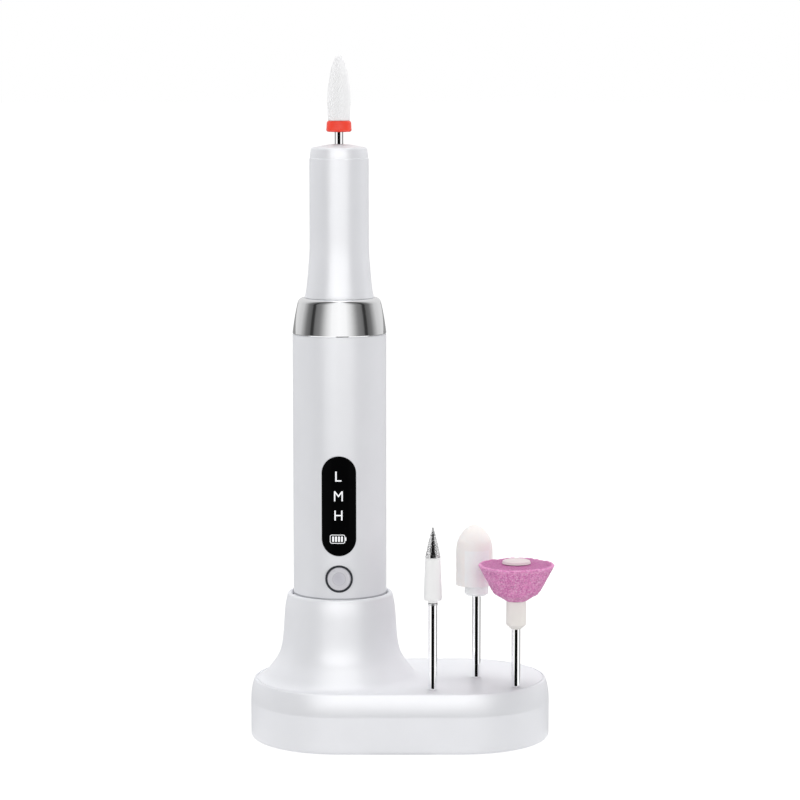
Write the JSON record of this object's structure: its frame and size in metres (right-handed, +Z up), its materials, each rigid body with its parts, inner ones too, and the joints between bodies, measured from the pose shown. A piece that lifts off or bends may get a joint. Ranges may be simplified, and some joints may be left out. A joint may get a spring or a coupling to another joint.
{
  "type": "electric nail drill",
  "caption": "Cordless pen nail drill with display and power button, standing in an oval charging stand that also holds spare grinding bits.",
  "frame": {"origin": "middle of the stand's foot pad, on its underside", "axes": "+Z up along the handpiece, +X towards the spare bits, -Y the side with the display and button"},
  "size_m": [0.0835, 0.0492, 0.1885],
  "materials": {
    "white_shell": "satin moulded",
    "rubber_pad": "matte",
    "plain_steel": "brushed",
    "polished_steel": "polished",
    "chrome": "mirror, faintly spun",
    "circuit_board": "solder mask",
    "black_plastic": "fine grain",
    "grey_plastic": "fine grain",
    "gold_contact": "plated",
    "display_black": "gloss",
    "lamp_white": "clear",
    "dark_metal": "dark plated",
    "button_satin": "satin",
    "cell_wrap": "shrink sleeve",
    "ferrite": "matte",
    "copper": "enamelled",
    "red_band": "glossy",
    "white_ceramic": "cross-cut",
    "white_sleeve": "smooth",
    "cream_abrasive": "fine abrasive",
    "cream_hub": "smooth",
    "pink_stone": "granular"
  },
  "bodies": {
    "stand": {"stand_shell": "white_shell", "stand_tray": "white_shell", "foot_pad": "rubber_pad", "stand_ballast": "plain_steel", "stand_screws": "plain_steel", "charge_board": "circuit_board", "usb_socket": "plain_steel", "pogo_block": "black_plastic"},
    "pogo_left": {"pogo_pin_left": "gold_contact", "pogo_spring_left": "plain_steel"},
    "pogo_right": {"pogo_pin_right": "gold_contact", "pogo_spring_right": "plain_steel"},
    "handpiece": {"barrel": "white_shell", "end_cap": "white_shell", "end_cap_screws": "plain_steel", "charge_contacts": "gold_contact", "chrome_ring": "chrome", "head_sleeve": "white_shell", "display_window": "display_black", "light_box": "black_plastic", "indicator_leds": "lamp_white", "control_board": "circuit_board", "tact_switch": "black_plastic", "button_ring": "dark_metal", "cell_cradle": "grey_plastic", "battery_cell": "cell_wrap", "battery_tabs": "plain_steel", "motor_can": "plain_steel", "motor_endbell": "black_plastic", "motor_magnets": "ferrite", "motor_brushes": "copper", "motor_mount": "plain_steel", "motor_mount_screws": "plain_steel", "bearing_tube": "plain_steel", "bearing_outer_rings": "polished_steel", "bearing_balls": "polished_steel", "bearing_nut": "plain_steel", "dust_seal": "rubber_pad"},
    "spindle": {"motor_shaft": "polished_steel", "armature_core": "plain_steel", "armature_windings": "copper", "commutator": "copper", "shaft_coupling": "black_plastic", "spindle": "polished_steel", "collet": "polished_steel", "bearing_inner_rings": "polished_steel"},
    "flame_bit": {"flame_bit_shank": "polished_steel", "flame_bit_band": "red_band", "flame_bit_head": "white_ceramic"},
    "button": {"power_button": "button_satin", "switch_plunger": "black_plastic"},
    "cone_bit": {"cone_bit_shank": "polished_steel", "cone_bit_sleeve": "white_sleeve"},
    "cap_bit": {"cap_bit_shank": "polished_steel", "cap_bit_mandrel": "white_sleeve", "sanding_cap": "cream_abrasive"},
    "stone_bit": {"stone_bit_shank": "polished_steel", "stone_bit_hub": "cream_hub", "stone_bit_stone": "pink_stone", "stone_bit_washer": "cream_hub"}
  },
  "joints": [
    {"name": "handpiece_lift", "type": "slide", "parent": "stand", "child": "handpiece", "axis": [0, 0, 1], "range_m": [0, 0.06]},
    {"name": "button_press", "type": "slide", "parent": "handpiece", "child": "button", "axis": [0, 1, 0], "range_m": [0, 0.0004], "stiffness_N_per_m": 600, "springref_m": -0.0004},
    {"name": "spindle_spin", "type": "hinge", "parent": "handpiece", "child": "spindle", "pos_m": [-0.0166, 0, 0.13], "axis": [0, 0, 1], "continuous": true},
    {"name": "flame_bit_pull", "type": "slide", "parent": "spindle", "child": "flame_bit", "axis": [0, 0, 1], "range_m": [0, 0.04]},
    {"name": "cone_bit_lift", "type": "slide", "parent": "stand", "child": "cone_bit", "axis": [0, 0, 1], "range_m": [0, 0.03]},
    {"name": "cap_bit_lift", "type": "slide", "parent": "stand", "child": "cap_bit", "axis": [0, 0, 1], "range_m": [0, 0.03]},
    {"name": "stone_bit_lift", "type": "slide", "parent": "stand", "child": "stone_bit", "axis": [0, 0, 1], "range_m": [0, 0.03]},
    {"name": "pogo_left_press", "type": "slide", "parent": "stand", "child": "pogo_left", "axis": [0, 0, 1], "range_m": [-0.0008, 0], "stiffness_N_per_m": 150, "springref_m": 0.001, "deforming": ["pogo_spring_left"]},
    {"name": "pogo_right_press", "type": "slide", "parent": "stand", "child": "pogo_right", "axis": [0, 0, 1], "range_m": [-0.0008, 0], "stiffness_N_per_m": 150, "springref_m": 0.001, "deforming": ["pogo_spring_right"]}
  ]
}
